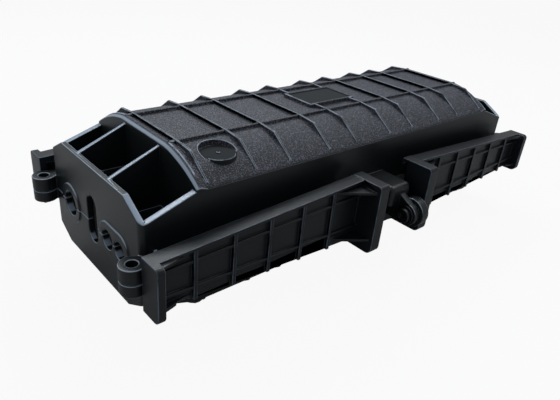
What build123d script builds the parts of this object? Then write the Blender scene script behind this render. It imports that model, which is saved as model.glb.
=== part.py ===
from build123d import *
import os

# In-line splice closure for outdoor cable: two ribbed half shells held by four tapered sliding clamps.
# Origin at the middle of the body, +X along its length, +Z up. Millimetres.
# Both halves share one outline about Z = 0, but they part a little below it, at parting_z.

# Body
body_length = 460.0
body_width = 152.0
wall = 4.0
side_height = 46.5
crown_height = 64.5
flat_inset = 43.7
shoulder_inset = 20.0
shoulder_share = 0.76
inner_side_share = 0.6
inner_shoulder_in = 0.7
inner_shoulder_down = 0.8
seam_gap = 0.6
parting_z = -3.0

# End hood with three open pockets, the lip of its arch, and the end plate
hood_length = 42.0
hood_wall = 5.5
plate_thickness = 4.5
plate_height = 45.3
plate_shoulder_inset = 23.9
plate_shoulder_z = 32.0
corner_radius = 6.0
divider_y = 26.0
divider_thickness = 3.0
divider_drop = 1.7
floor_thickness = 3.0
swell_sink = 0.4
crest_side_rise = 2.0
crest_shoulder_rise = 0.8
crest_rise = 2.6
lip_length = 4.0
lip_side_rise = 1.5
lip_shoulder_drop = 1.8
lip_rise = 0.2

# Stiffening ribs on the shells
rib_first = 22.8
rib_end_gap = 10.4
rib_pair_share = 0.435
rib_thickness = 2.2
rib_rise = 3.5
rib_knee_inset = 24.4
rib_knee_rise = 1.8
rib_end_inset = 2.8
rib_end_rise = 4.1
long_rib_thickness = 2.6
long_rib_drop = 0.8

# Bare label pad and the round moulded boss
pad_length = 58.0
pad_width = 37.0
pad_frame = 2.5
pad_recess = 1.2
boss_bay_share = 0.47
boss_inset = 23.5
boss_drop = 4.9
boss_radius = 13.2
boss_moat = 1.5
boss_nub_radius = 1.6
boss_nub_height = 0.8

# Cable ports: one large round port, one tall oblong port and a pair of small round ports
round_port_y = 40.8
round_port_radius = 10.6
pair_ports = ((-25.2, 8.2), (-43.8, 7.5))
slot_port_y = 2.0
slot_port_z = 0.5
slot_port_width = 15.8
slot_port_height = 40.4
port_rim = 6.0
port_rim_height = 1.2
port_play = 1.0
port_play_reach = 8.0
web_back = 27.0
web_thickness = 3.0

# Rubber port seals
seal_land = 2.5
seal_clearance = 0.3
roof_clearance = 1.0
seal_bore_share = 0.55
seal_groove = 1.2

# Rails that the clamps run on
rail_offset = 15.3
rail_thickness = 3.0
rail_flange = 5.0
rail_wide_gap = 3.0
rail_narrow_gap = 4.0
rail_clearance = 0.2
gusset_thickness = 2.5
gusset_wall_z = 12.0
gusset_rail_z = 8.0

# Sealing cord in the rail flange
cord_offset = 6.0
cord_width = 4.0
cord_depth = 2.0
cord_clearance = 0.3
cord_end_gap = 5.0

# Corner lug rings
lug_reach = 8.0
lug_offset = 1.5
lug_radius = 9.3
lug_hole_radius = 4.2
cover_lug_height = 11.5
base_lug_height = 9.3
lug_neck = 13.0

# Tapered sliding clamps
clamp_wide_x = 29.0
clamp_overhang = 7.0
clamp_half_wide = 29.6
clamp_half_narrow = 19.5
clamp_lip_offset = 12.2
clamp_face_offset = 22.0
clamp_wall = 3.5
clamp_hook = 2.8
clamp_rim = 2.4
clamp_rib_first_gap = 45.0
clamp_rib_last_gap = 27.0
clamp_rib_count = 5
clamp_rib_thickness = 3.2
clamp_rib_height = 3.0
clamp_rib_foot = 0.4
cross_rib_thickness = 2.4
cross_rib_height = 2.2
cross_rib_share = 0.5
wide_flange = 11.0
wide_flange_reach = 22.0
wide_flange_drop = 5.5
narrow_flange = 6.0
narrow_flange_reach = 11.0
narrow_flange_drop = 3.8
flange_round_below = 6.0
flange_round_above = 3.5
clamp_gusset_length = 27.0
clamp_gusset_share = 0.8
clamp_gusset_step = 4.0
clamp_notch = 24.0
clamp_notch_depth = 3.4

# Side lock between the clamps: tongue of the cover pinned to a lug of the base
lock_offset = 42.0
lock_z = -9.0
lock_lug_radius = 13.5
lock_lug_x = 12.0
lock_lug_thickness = 9.0
lock_tongue_radius = 10.5
lock_tongue_thickness = 6.7
lock_tongue_share = 0.7
lock_ear_inset = 11.0
lock_ear_top = 8.0
lock_gap = 0.3
lock_block_length = 28.0
lock_block_x = 6.0
lock_block_offset = 33.0
lock_block_top = 15.5
lock_block_round = 5.0
lock_bolt_radius = 4.0
lock_hole_radius = 4.2
lock_head_radius = 6.6
lock_head_height = 4.0
lock_socket_radius = 3.4
lock_socket_depth = 2.4
lock_washer_radius = 8.6
lock_washer_thickness = 1.5
lock_nut_radius = 7.4
lock_nut_height = 6.0

# Splice organiser
organiser_side_gap = 14.0
anchor_wall_gap = 26.0
anchor_width = 16.0
anchor_thickness = 3.0
anchor_side_gap = 1.0
carrier_thickness = 2.0
carrier_z = -40.0
carrier_radius = 8.0
carrier_lip = 8.0
carrier_lip_inset = 20.0
post_radius = 5.0
post_end_gap = 8.0
post_side_gap = 14.0
screw_radius = 2.0
screw_clearance = 0.2
screw_head_radius = 3.8
screw_head_height = 2.6
carrier_screw_length = 12.0
tray_count = 3
tray_end_gap = 18.0
tray_side_gap = 4.0
tray_height = 11.0
tray_stack_gap = 0.6
tray_floor = 1.6
tray_wall = 1.6
tray_radius = 20.0
tray_gap = 0.3
mandrel_radius = 30.0
mandrel_height = 8.0
mandrel_end_gap = 14.0
hinge_room = 16.0
hinge_pin_radius = 2.0
hinge_clearance = 0.05
hinge_ear = 8.0
hinge_reach = 6.0
hinge_ear_inset = 22.0
lid_thickness = 1.6
holder_length = 44.0
holder_width = 30.0
holder_height = 5.0
holder_base = 1.5
holder_slots = 6
holder_slot_width = 2.4
saddle_side_gap = 4.0
saddle_radius = 6.0
saddle_thickness = 2.0
saddle_hole = 12.5
saddle_reach = 17.0
saddle_width = 12.0

# How far joined shapes are sunk into each other
bury = 1.0

# Worked out from the driving dimensions
half_length = body_length / 2
half_width = body_width / 2
half_seam = seam_gap / 2
cover_seam_z = parting_z + half_seam
base_seam_z = parting_z - half_seam
flat_half = half_width - flat_inset
shoulder_y = half_width - shoulder_inset
shoulder_z = side_height + shoulder_share * (crown_height - side_height)
arch_x = half_length - hood_length
lip_x = arch_x - lip_length
inner_x = arch_x - wall
web_x = half_length - web_back
plate_flat_half = half_width - plate_shoulder_inset
rib_last = arch_x - rib_end_gap
rib_bay = (rib_last - rib_first) / 2
rib_places = (
    rib_first,
    rib_first + rib_pair_share * rib_bay,
    rib_first + rib_bay,
    rib_first + (1 + rib_pair_share) * rib_bay,
    rib_last,
)
rib_top_z = crown_height + rib_rise
boss_x = -rib_places[3] - boss_bay_share * (rib_last - rib_places[3])
boss_y = boss_inset - half_width
boss_z = crown_height - boss_drop
pair_y = (pair_ports[0][0] + pair_ports[1][0]) / 2
pair_spacing = abs(pair_ports[0][0] - pair_ports[1][0])
pair_radius = pair_ports[0][1]
round_ports = ((round_port_y, round_port_radius),) + pair_ports
port_roof = round_port_radius + seal_land + roof_clearance
slot_roof = slot_port_height / 2 + seal_land + roof_clearance
clamp_narrow_x = half_length + clamp_overhang
clamp_face_y = half_width + clamp_face_offset
clamp_lip_y = half_width + clamp_lip_offset
clamp_slope = (clamp_half_wide - clamp_half_narrow) / (clamp_narrow_x - clamp_wide_x)
clamp_inner_y = clamp_face_y - clamp_wall
hollow_x = clamp_narrow_x - narrow_flange
clamp_rib_first = clamp_wide_x + clamp_rib_first_gap
clamp_rib_pitch = (hollow_x - clamp_rib_last_gap - clamp_rib_first) / (clamp_rib_count - 1)
rail_inner_y = half_width + rail_offset
rail_outer_y = rail_inner_y + rail_thickness
rail_start_x = clamp_wide_x + rail_wide_gap
rail_end_x = hollow_x - rail_narrow_gap
cord_y = half_width + cord_offset
cord_end_x = rail_end_x - cord_end_gap
lug_x = half_length + lug_reach
lug_y = half_width + lug_offset
lock_y = half_width + lock_offset
lock_block_y = half_width + lock_block_offset


def clamp_half(x):
    # Half height of a clamp's outside at the distance x from the middle of the body.
    return clamp_half_wide - (abs(x) - clamp_wide_x) * clamp_slope


def rail_top(x):
    # The rail runs just under the clamp's inner face.
    return clamp_half(x) - clamp_wall - rail_clearance


def section_outline(side_y, side_z, shoulder, edge_z):
    # Half of a crowned section: side wall, shoulder and flat top. The other half is mirrored.
    Line((0, parting_z), (side_y, parting_z))
    Line((side_y, parting_z), (side_y, side_z))
    ThreePointArc((side_y, side_z), shoulder, (flat_half, edge_z))
    Line((flat_half, edge_z), (0, edge_z))
    mirror(about=Plane.YZ)


def panel_outline(inset):
    # The panel's own section, or its inside at the given wall thickness.
    section_outline(
        half_width - inset,
        side_height - inset * inner_side_share,
        (shoulder_y - inset * inner_shoulder_in, shoulder_z - inset * inner_shoulder_down),
        crown_height - inset,
    )


# Upper half as both shells share it: panel, arches, ribs, hood walls and end plates

with BuildPart() as half_shell:
    # Crowned panel zone
    with BuildSketch(Plane.YZ.offset(-lip_x)):
        with BuildLine():
            panel_outline(0)
        make_face()
    extrude(amount=2 * lip_x)

    # Arch behind the mouth of each hood: it swells from the last rib to a crest, then falls to a lip
    arch_sections = (
        (rib_last, -swell_sink, -swell_sink, -swell_sink),
        (lip_x, crest_side_rise, crest_shoulder_rise, crest_rise),
        (arch_x, lip_side_rise, -lip_shoulder_drop, lip_rise),
    )
    for side in (-1, 1):
        for x, side_rise, shoulder_rise, edge_rise in arch_sections:
            with BuildSketch(Plane.YZ.offset(side * x)):
                with BuildLine():
                    section_outline(
                        half_width,
                        side_height + side_rise,
                        (shoulder_y, shoulder_z + shoulder_rise),
                        crown_height + edge_rise,
                    )
                make_face()
        loft(ruled=True)

    # Transverse ribs: low on the flat top, straight chords over the shoulders with a knuckle
    for place in rib_places:
        for x in (-place, place):
            with BuildSketch(Plane.YZ.offset(x - rib_thickness / 2)):
                with BuildLine():
                    Polyline(
                        (0, side_height / 2),
                        (half_width - rib_end_inset, side_height / 2),
                        (half_width - rib_end_inset, side_height + rib_end_rise),
                        (half_width - rib_knee_inset, crown_height + rib_knee_rise),
                        (flat_half, rib_top_z),
                        (0, rib_top_z),
                        close=True,
                    )
                make_face()
                mirror(about=Plane.YZ)
            extrude(amount=rib_thickness)

    # Two lengthwise ribs at the edges of the flat top
    long_rib_z = rib_top_z - long_rib_drop
    with Locations((0, -flat_half, long_rib_z), (0, flat_half, long_rib_z)):
        Box(
            2 * lip_x,
            long_rib_thickness,
            long_rib_z - crown_height + wall / 2,
            align=(Align.CENTER, Align.CENTER, Align.MAX),
        )

    # Hood at each end: side walls with sloping rims, and the end plate
    with BuildSketch(Plane.XZ.offset(-half_width)):
        with BuildLine():
            Polyline(
                (0, parting_z),
                (half_length, parting_z),
                (half_length, plate_shoulder_z),
                (arch_x, side_height),
                (0, side_height),
                close=True,
            )
        make_face()
        mirror(about=Plane.YZ)
    extrude(amount=hood_wall)
    mirror(about=Plane.XZ)
    for x in (-half_length, half_length - plate_thickness):
        with BuildSketch(Plane.YZ.offset(x)):
            with BuildLine():
                Polyline(
                    (0, parting_z),
                    (half_width, parting_z),
                    (half_width, plate_shoulder_z),
                    (plate_flat_half, plate_height),
                    (0, plate_height),
                    close=True,
                )
            make_face()
            mirror(about=Plane.YZ)
        extrude(amount=plate_thickness)

    # Rounded upright corners of the hood
    corner_edges = (
        half_shell.edges()
        .filter_by(Axis.Z)
        .filter_by(lambda edge: abs(abs(edge.center().X) - half_length) < half_seam)
        .filter_by(lambda edge: abs(abs(edge.center().Y) - half_width) < half_seam)
    )
    fillet(corner_edges, radius=corner_radius)


def parted_shell(parting, slot_z, lug_height):
    # One shell drawn upright, with all that lies about its parting plane: pocket floors, rails,
    # lug rings and ports. The base shell is turned over afterwards, so its plane is above Z = 0.
    seam_z = parting + half_seam
    with BuildPart() as shell:
        add(half_shell.part)

        # Dividers, floors and inner webs of the pockets
        with BuildSketch(Plane.XZ.offset(-divider_y - divider_thickness / 2)):
            with BuildLine():
                Polyline(
                    (inner_x, parting + port_roof),
                    (half_length - plate_thickness / 2, parting + port_roof),
                    (half_length - plate_thickness / 2, plate_height),
                    (arch_x, crown_height - divider_drop),
                    (inner_x, crown_height - divider_drop),
                    close=True,
                )
            make_face()
            mirror(about=Plane.YZ)
        extrude(amount=divider_thickness)
        mirror(about=Plane.XZ)
        side_floor = half_width - hood_wall / 2 - divider_y
        floor_length = hood_length + wall / 2 - plate_thickness / 2
        for side in (-1, 1):
            hood_middle = side * (arch_x - wall / 2 + floor_length / 2)
            with Locations(
                (hood_middle, -divider_y - side_floor / 2, parting + port_roof),
                (hood_middle, divider_y + side_floor / 2, parting + port_roof),
            ):
                Box(
                    floor_length,
                    side_floor,
                    floor_thickness,
                    align=(Align.CENTER, Align.CENTER, Align.MIN),
                )
            with Locations((hood_middle, 0, slot_z + slot_roof)):
                Box(
                    floor_length,
                    2 * divider_y,
                    floor_thickness,
                    align=(Align.CENTER, Align.CENTER, Align.MIN),
                )
            with Locations((side * web_x, 0, seam_z)):
                Box(
                    web_thickness,
                    body_width - wall,
                    parting + port_roof - seam_z + bury,
                    align=(Align.CENTER, Align.CENTER, Align.MIN),
                )
                Box(
                    web_thickness,
                    2 * divider_y,
                    slot_z + slot_roof - seam_z + bury,
                    align=(Align.CENTER, Align.CENTER, Align.MIN),
                )

        # Sealing flange, tapered rail and its gussets along both sides
        flange_width = clamp_lip_y - half_width + wall
        with Locations(
            (0, -clamp_lip_y + flange_width / 2, seam_z),
            (0, clamp_lip_y - flange_width / 2, seam_z),
        ):
            Box(
                2 * rail_end_x,
                flange_width,
                rail_flange,
                align=(Align.CENTER, Align.CENTER, Align.MIN),
            )
        rail_middle = (rail_start_x + rail_end_x) / 2
        rail_places = [
            (x, y, seam_z)
            for x in (-rail_middle, rail_middle)
            for y in (-(half_width + rail_outer_y) / 2, (half_width + rail_outer_y) / 2)
        ]
        with Locations(rail_places):
            Box(
                rail_end_x - rail_start_x,
                rail_outer_y - half_width,
                rail_flange,
                align=(Align.CENTER, Align.CENTER, Align.MIN),
            )
        with BuildSketch(Plane.XZ.offset(-rail_outer_y)):
            with BuildLine():
                Polyline(
                    (rail_start_x, seam_z),
                    (rail_end_x, seam_z),
                    (rail_end_x, rail_top(rail_end_x)),
                    (rail_start_x, rail_top(rail_start_x)),
                    close=True,
                )
            make_face()
            mirror(about=Plane.YZ)
        extrude(amount=rail_thickness)
        mirror(about=Plane.XZ)
        for index in range(clamp_rib_count + 1):
            place = clamp_rib_first + (index - 0.5) * clamp_rib_pitch
            for x in (-place, place):
                with BuildSketch(Plane.YZ.offset(x - gusset_thickness / 2)):
                    with BuildLine():
                        Polyline(
                            (half_width - wall / 2, seam_z + bury),
                            (half_width - wall / 2, gusset_wall_z),
                            (half_width, gusset_wall_z),
                            (clamp_lip_y - bury, gusset_rail_z),
                            (rail_inner_y + bury, gusset_rail_z),
                            (rail_inner_y + bury, seam_z + bury),
                            close=True,
                        )
                    make_face()
                    mirror(about=Plane.YZ)
                extrude(amount=gusset_thickness)

        # Corner lug rings on short necks
        lug_places = [(x, y, seam_z) for x in (-lug_x, lug_x) for y in (-lug_y, lug_y)]
        with Locations(lug_places):
            Cylinder(lug_radius, lug_height, align=(Align.CENTER, Align.CENTER, Align.MIN))
        neck_x = half_length - plate_thickness
        neck_places = [(x, y, seam_z) for x in (-neck_x, neck_x) for y in (-lug_y, lug_y)]
        with Locations(neck_places):
            Box(
                2 * (lug_x - neck_x),
                lug_neck,
                lug_height,
                align=(Align.CENTER, Align.CENTER, Align.MIN),
            )
        with Locations(lug_places):
            Cylinder(lug_hole_radius, 3 * lug_height, mode=Mode.SUBTRACT)

        # Raised rims round the ports
        for x in (-half_length - port_rim_height, half_length - bury):
            with BuildSketch(Plane.YZ.offset(x)):
                with Locations((round_port_y, parting)):
                    Circle(round_port_radius + port_rim)
                with Locations((pair_y, parting)):
                    SlotCenterToCenter(pair_spacing, 2 * (pair_radius + port_rim))
            extrude(amount=bury + port_rim_height)

        # Main cavity, then everything below the parting plane
        with BuildSketch(Plane.YZ.offset(-inner_x)):
            with BuildLine():
                panel_outline(wall)
            make_face()
        extrude(amount=2 * inner_x, mode=Mode.SUBTRACT)
        with Locations((0, 0, seam_z)):
            Box(
                2 * body_length,
                2 * body_width,
                2 * body_width,
                align=(Align.CENTER, Align.CENTER, Align.MAX),
                mode=Mode.SUBTRACT,
            )

        # Ports through the end plate, and wider ones through the web and the inner wall
        full_reach = half_length + 2 * port_rim_height
        for play, reach in ((0, full_reach), (port_play, half_length - port_play_reach)):
            with BuildSketch(Plane.YZ.offset(-reach)):
                for y, radius in round_ports:
                    with Locations((y, parting)):
                        Circle(radius + play)
                with Locations((slot_port_y, slot_z)):
                    SlotOverall(
                        slot_port_height + 2 * play,
                        slot_port_width + 2 * play,
                        rotation=90,
                    )
            extrude(amount=2 * reach, mode=Mode.SUBTRACT)
    return shell.part


# Groove for the sealing cords, half in each shell

with BuildPart() as cord_groove:
    with Locations((0, -cord_y, parting_z), (0, cord_y, parting_z)):
        Box(
            2 * (cord_end_x + cord_clearance),
            cord_width + 2 * cord_clearance,
            2 * (cord_depth + half_seam),
        )


def side_pose(side):
    # The far side repeats the near side, turned half a turn about the vertical axis.
    return Rotation(0, 0, 0 if side < 0 else 180)


# Cover shell: bare label pad, round moulded boss and the tongue of the side lock

with BuildPart() as cover_tongue:
    with BuildSketch(Plane.XY.offset(cover_seam_z)):
        with Locations((lock_block_x, -lock_block_y)):
            Rectangle(
                lock_block_length,
                lock_block_offset + wall / 2,
                align=(Align.CENTER, Align.MIN),
            )
    extrude(amount=lock_block_top - cover_seam_z)
    outer_edges = cover_tongue.edges().filter_by(lambda edge: edge.center().Y < -half_width)
    top_edges = cover_tongue.faces().sort_by(Axis.Z)[-1].edges()
    outer_top_edges = top_edges.filter_by(lambda edge: edge.center().Y < -half_width)
    fillet(outer_edges.filter_by(Axis.Z) + outer_top_edges, radius=lock_block_round)
    with BuildSketch(Plane.YZ.offset(lock_lug_x - lock_gap - lock_tongue_thickness)):
        with Locations((-lock_y, lock_z)):
            Circle(lock_tongue_radius)
        tongue_side = lock_tongue_radius * lock_tongue_share
        with BuildLine():
            Polyline(
                (-lock_y - tongue_side, lock_z + tongue_side),
                (-lock_block_y + bury, lock_ear_top),
                (-lock_block_y + lock_ear_inset, lock_ear_top),
                (-lock_block_y + lock_ear_inset, cover_seam_z),
                (-lock_y + tongue_side, lock_z - tongue_side),
                close=True,
            )
        make_face()
    extrude(amount=lock_tongue_thickness)
    with Locations(Location((lock_lug_x, -lock_y, lock_z), (0, 90, 0))):
        Cylinder(lock_hole_radius, 2 * lock_block_length, mode=Mode.SUBTRACT)

pan_radius = boss_radius + boss_moat + wall

with BuildPart() as boss_pan:
    # Thick wall round the boss, kept half a wall below the panel's own surface
    with BuildSketch(Plane.XY.offset(side_height)):
        with Locations((boss_x, boss_y)):
            Circle(pan_radius)
    extrude(amount=crown_height - side_height)
    with BuildSketch(Plane.YZ.offset(-lip_x)):
        with BuildLine():
            panel_outline(wall / 2)
        make_face()
    extrude(amount=lip_x, mode=Mode.INTERSECT)

with BuildPart() as cover_shell:
    add(parted_shell(parting_z, slot_port_z, cover_lug_height))
    with Locations((0, 0, rib_top_z)):
        Box(
            pad_length,
            pad_width,
            rib_top_z - crown_height + wall / 2,
            align=(Align.CENTER, Align.CENTER, Align.MAX),
        )
        Box(
            pad_length - 2 * pad_frame,
            pad_width - 2 * pad_frame,
            2 * pad_recess,
            mode=Mode.SUBTRACT,
        )
    add(boss_pan.part)
    with Locations((boss_x, boss_y, boss_z)):
        Cylinder(
            boss_radius + boss_moat,
            crown_height,
            align=(Align.CENTER, Align.CENTER, Align.MIN),
            mode=Mode.SUBTRACT,
        )
    with Locations((boss_x, boss_y, boss_z)):
        Cylinder(boss_radius, boss_z - side_height, align=(Align.CENTER, Align.CENTER, Align.MAX))
        Cylinder(
            boss_nub_radius,
            boss_nub_height,
            align=(Align.CENTER, Align.CENTER, Align.MIN),
        )
    with BuildSketch(Plane.YZ.offset(boss_x - pan_radius)):
        with BuildLine():
            panel_outline(wall)
        make_face()
        with Locations((0, boss_z - wall)):
            Rectangle(
                body_width,
                crown_height,
                align=(Align.CENTER, Align.MIN),
                mode=Mode.SUBTRACT,
            )
    extrude(amount=2 * pan_radius, mode=Mode.SUBTRACT)
    for side in (-1, 1):
        add(side_pose(side) * cover_tongue.part)
    add(cord_groove.part, mode=Mode.SUBTRACT)
cover_shell.part.label = "cover_shell"


# Base shell: turned over, with organiser posts and the lugs of the side lock

with BuildPart() as base_lug:
    with BuildSketch(Plane.YZ.offset(lock_lug_x)):
        with Locations((-lock_y, lock_z)):
            Circle(lock_lug_radius)
        with BuildLine():
            Polyline(
                (-lock_y, lock_z - lock_lug_radius),
                (-lock_y, base_seam_z),
                (-half_width + wall / 2, base_seam_z),
                (-half_width + wall / 2, lock_z - lock_lug_radius),
                close=True,
            )
        make_face()
        with Locations((-lock_block_y - lock_gap, base_seam_z)):
            Rectangle(
                2 * lock_lug_radius,
                2 * lock_lug_radius,
                align=(Align.MIN, Align.MIN),
                mode=Mode.SUBTRACT,
            )
    extrude(amount=lock_lug_thickness)
    with Locations(Location((lock_lug_x, -lock_y, lock_z), (0, 90, 0))):
        Cylinder(lock_hole_radius, 2 * lock_block_length, mode=Mode.SUBTRACT)

carrier_width = body_width - 2 * (wall + organiser_side_gap)
carrier_seat_z = carrier_z - carrier_thickness
anchor_x = inner_x - anchor_wall_gap - anchor_width / 2
post_x = anchor_x - anchor_width / 2 - post_end_gap
post_y = carrier_width / 2 - post_side_gap
post_places = [(x, y) for x in (-post_x, post_x) for y in (-post_y, post_y)]

with BuildPart() as base_shell:
    add(mirror(parted_shell(-parting_z, -slot_port_z, base_lug_height), about=Plane.XY))
    for side in (-1, 1):
        add(side_pose(side) * base_lug.part)
    add(cord_groove.part, mode=Mode.SUBTRACT)
    with BuildSketch(Plane.XY.offset(carrier_seat_z)):
        with Locations(post_places):
            Circle(post_radius)
    extrude(until=Until.NEXT, dir=(0, 0, -1))
    with Locations([(x, y, carrier_seat_z) for x, y in post_places]):
        Cylinder(screw_radius, 2 * carrier_screw_length, mode=Mode.SUBTRACT)
base_shell.part.label = "base_shell"


# Tapered clamp: a C channel with hooked lips and a standing rim along its top, five upright ribs,
# two cross ribs and a flange at each end. Modelled on the near side of the front half.

def clamp_section(x, inner):
    # Section of the channel's outside with its rim, or of its hollow with the hooked lips.
    half = clamp_half(x) - (clamp_wall if inner else 0)
    if inner:
        Polyline(
            (-clamp_lip_y + bury, half - clamp_hook),
            (-clamp_lip_y - clamp_hook, half - clamp_hook),
            (-clamp_lip_y - clamp_hook, half),
            (-clamp_inner_y, half),
            (-clamp_inner_y, -half),
            (-clamp_lip_y - clamp_hook, -half),
            (-clamp_lip_y - clamp_hook, clamp_hook - half),
            (-clamp_lip_y + bury, clamp_hook - half),
            close=True,
        )
    else:
        Polyline(
            (-clamp_lip_y, half),
            (-clamp_face_y - clamp_rib_height, half),
            (-clamp_face_y - clamp_rib_height, half - clamp_rim),
            (-clamp_face_y, half - clamp_rim),
            (-clamp_face_y, -half),
            (-clamp_lip_y, -half),
            close=True,
        )


with BuildPart() as clamp:
    # Channel
    for x in (clamp_narrow_x, clamp_wide_x):
        with BuildSketch(Plane.YZ.offset(-x)):
            with BuildLine():
                clamp_section(x, False)
            make_face()
    loft(ruled=True)

    # Upright ribs from the foot of the channel up into the rim
    for index in range(clamp_rib_count):
        rib_x = clamp_rib_first + index * clamp_rib_pitch
        with BuildSketch(Plane.YZ.offset(-rib_x - clamp_rib_thickness / 2)):
            with Locations((-clamp_face_y - clamp_rib_height, clamp_rib_foot - clamp_half(rib_x))):
                Rectangle(
                    clamp_rib_height + bury,
                    2 * clamp_half(rib_x) - clamp_rib_foot - clamp_rim / 2,
                    align=(Align.MIN, Align.MIN),
                )
        extrude(amount=clamp_rib_thickness)

    # Cross ribs that follow the taper
    for sign in (-1, 1):
        with BuildSketch(Plane.XZ.offset(clamp_face_y - bury)):
            with BuildLine():
                cross_wide_z = sign * cross_rib_share * clamp_half(clamp_wide_x)
                cross_narrow_z = sign * cross_rib_share * clamp_half(clamp_narrow_x)
                Polyline(
                    (-clamp_wide_x, cross_wide_z - cross_rib_thickness / 2),
                    (-clamp_wide_x, cross_wide_z + cross_rib_thickness / 2),
                    (-clamp_narrow_x, cross_narrow_z + cross_rib_thickness / 2),
                    (-clamp_narrow_x, cross_narrow_z - cross_rib_thickness / 2),
                    close=True,
                )
            make_face()
        extrude(amount=cross_rib_height + bury)

    # End flanges, longer below than above
    for start_x, end_x, reach, drop in (
        (clamp_wide_x + wide_flange, clamp_wide_x, wide_flange_reach, wide_flange_drop),
        (clamp_narrow_x, hollow_x, narrow_flange_reach, narrow_flange_drop),
    ):
        flange_half = clamp_half(end_x)
        with BuildSketch(Plane.YZ.offset(-start_x)) as flange:
            with BuildLine():
                Polyline(
                    (-clamp_lip_y, flange_half),
                    (-clamp_face_y - reach, flange_half),
                    (-clamp_face_y - reach, -flange_half - drop),
                    (-clamp_lip_y, -flange_half - drop),
                    close=True,
                )
            make_face()
            for place, radius in ((0, flange_round_below), (-1, flange_round_above)):
                outer_corners = flange.vertices().group_by(Axis.X)[0]
                fillet(outer_corners.sort_by(Axis.Y)[place], radius=radius)
        extrude(amount=start_x - end_x)

    # Three-cornered gussets between the channel and the flanges
    for foot_x, away, reach in (
        (clamp_wide_x + wide_flange, 1, wide_flange_reach),
        (hollow_x, -1, narrow_flange_reach),
    ):
        tip_x = foot_x + away * clamp_gusset_length
        step_y = clamp_face_y + reach - clamp_gusset_step
        for share in (-clamp_gusset_share, clamp_gusset_share):
            gusset_z = share * clamp_half(tip_x)
            with BuildSketch(Plane.XY.offset(gusset_z - cross_rib_thickness / 2)):
                with BuildLine():
                    Polyline(
                        (-foot_x + away * bury, bury - clamp_face_y),
                        (-foot_x + away * bury, -step_y),
                        (-foot_x, -step_y),
                        (-tip_x, -clamp_face_y),
                        (-tip_x, bury - clamp_face_y),
                        close=True,
                    )
                make_face()
            extrude(amount=cross_rib_thickness)

    # Hollow with hooked lips, open at the wide end and closed by the narrow flange
    for x in (hollow_x, clamp_wide_x - bury):
        with BuildSketch(Plane.YZ.offset(-x)):
            with BuildLine():
                clamp_section(x, True)
            make_face()
    loft(ruled=True, mode=Mode.SUBTRACT)

    # Shallow arched notch in the lower edge beside the narrow flange
    notch_z = -clamp_half(hollow_x)
    notch_far_z = notch_z - clamp_notch * clamp_slope
    notch_low_z = notch_z - 2 * clamp_notch_depth
    with BuildSketch(Plane.XZ.offset(clamp_lip_y - bury)):
        with BuildLine():
            Line((-hollow_x, notch_low_z), (-hollow_x, notch_z))
            ThreePointArc(
                (-hollow_x, notch_z),
                (-hollow_x + clamp_notch / 2, notch_z + clamp_notch_depth),
                (-hollow_x + clamp_notch, notch_far_z),
            )
            Line((-hollow_x + clamp_notch, notch_far_z), (-hollow_x + clamp_notch, notch_low_z))
            Line((-hollow_x + clamp_notch, notch_low_z), (-hollow_x, notch_low_z))
        make_face()
    notch_end_y = clamp_face_y + clamp_rib_height + bury
    extrude(amount=notch_end_y - clamp_lip_y + bury, mode=Mode.SUBTRACT)


# Rubber seals in the ports, and the sealing cords in the side flanges

seal_start = web_x + web_thickness / 2 + seal_clearance
seal_length = half_length - plate_thickness - seal_clearance - seal_start


def round_seal(side):
    with BuildPart() as seal:
        with BuildSketch(Plane.YZ.offset(side * seal_start)):
            with Locations((round_port_y, parting_z)):
                Circle(round_port_radius + seal_land)
                Circle(round_port_radius * seal_bore_share, mode=Mode.SUBTRACT)
        extrude(amount=side * seal_length)
        for share in (1 / 3, 2 / 3):
            groove_x = side * (seal_start + share * seal_length)
            with BuildSketch(Plane.YZ.offset(groove_x - seal_groove / 2)):
                with Locations((round_port_y, parting_z)):
                    Circle(round_port_radius + seal_land + bury)
                    Circle(round_port_radius + seal_land - seal_groove, mode=Mode.SUBTRACT)
            extrude(amount=seal_groove, mode=Mode.SUBTRACT)
    return seal.part


def pair_seal(side):
    with BuildPart() as seal:
        with BuildSketch(Plane.YZ.offset(side * seal_start)):
            with Locations((pair_y, parting_z)):
                SlotCenterToCenter(pair_spacing, 2 * (pair_radius + seal_land))
            for y, radius in pair_ports:
                with Locations((y, parting_z)):
                    Circle(radius * seal_bore_share, mode=Mode.SUBTRACT)
        extrude(amount=side * seal_length)
    return seal.part


def slot_seal(side):
    with BuildPart() as seal:
        with BuildSketch(Plane.YZ.offset(side * seal_start)):
            with Locations((slot_port_y, slot_port_z)):
                SlotOverall(
                    slot_port_height + 2 * seal_land,
                    slot_port_width + 2 * seal_land,
                    rotation=90,
                )
            with Locations(
                (slot_port_y, slot_port_z - slot_port_height / 4),
                (slot_port_y, slot_port_z + slot_port_height / 4),
            ):
                Circle(slot_port_width * seal_bore_share / 2, mode=Mode.SUBTRACT)
        extrude(amount=side * seal_length)
    return seal.part


nodes = {"cover_shell": cover_shell.part, "base_shell": base_shell.part}
for name, x_sign, y_sign in (
    ("clamp_front_near", 1, 1),
    ("clamp_front_far", 1, -1),
    ("clamp_rear_near", -1, 1),
    ("clamp_rear_far", -1, -1),
):
    piece = clamp.part
    if x_sign < 0:
        piece = mirror(piece, about=Plane.YZ)
    if y_sign < 0:
        piece = mirror(piece, about=Plane.XZ)
    nodes[name] = piece

for end, side in (("front", -1), ("rear", 1)):
    nodes[f"round_port_seal_{end}"] = round_seal(side)
    nodes[f"pair_port_seal_{end}"] = pair_seal(side)
    nodes[f"slot_port_seal_{end}"] = slot_seal(side)

for end, side in (("near", -1), ("far", 1)):
    with BuildPart() as cord:
        with Locations((0, side * cord_y, parting_z)):
            Box(2 * cord_end_x, cord_width, 2 * (cord_depth + half_seam - cord_clearance))
    nodes[f"side_seal_{end}"] = cord.part


# Side lock hardware: bolt, washer and nut on the axis through tongue and lug

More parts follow.
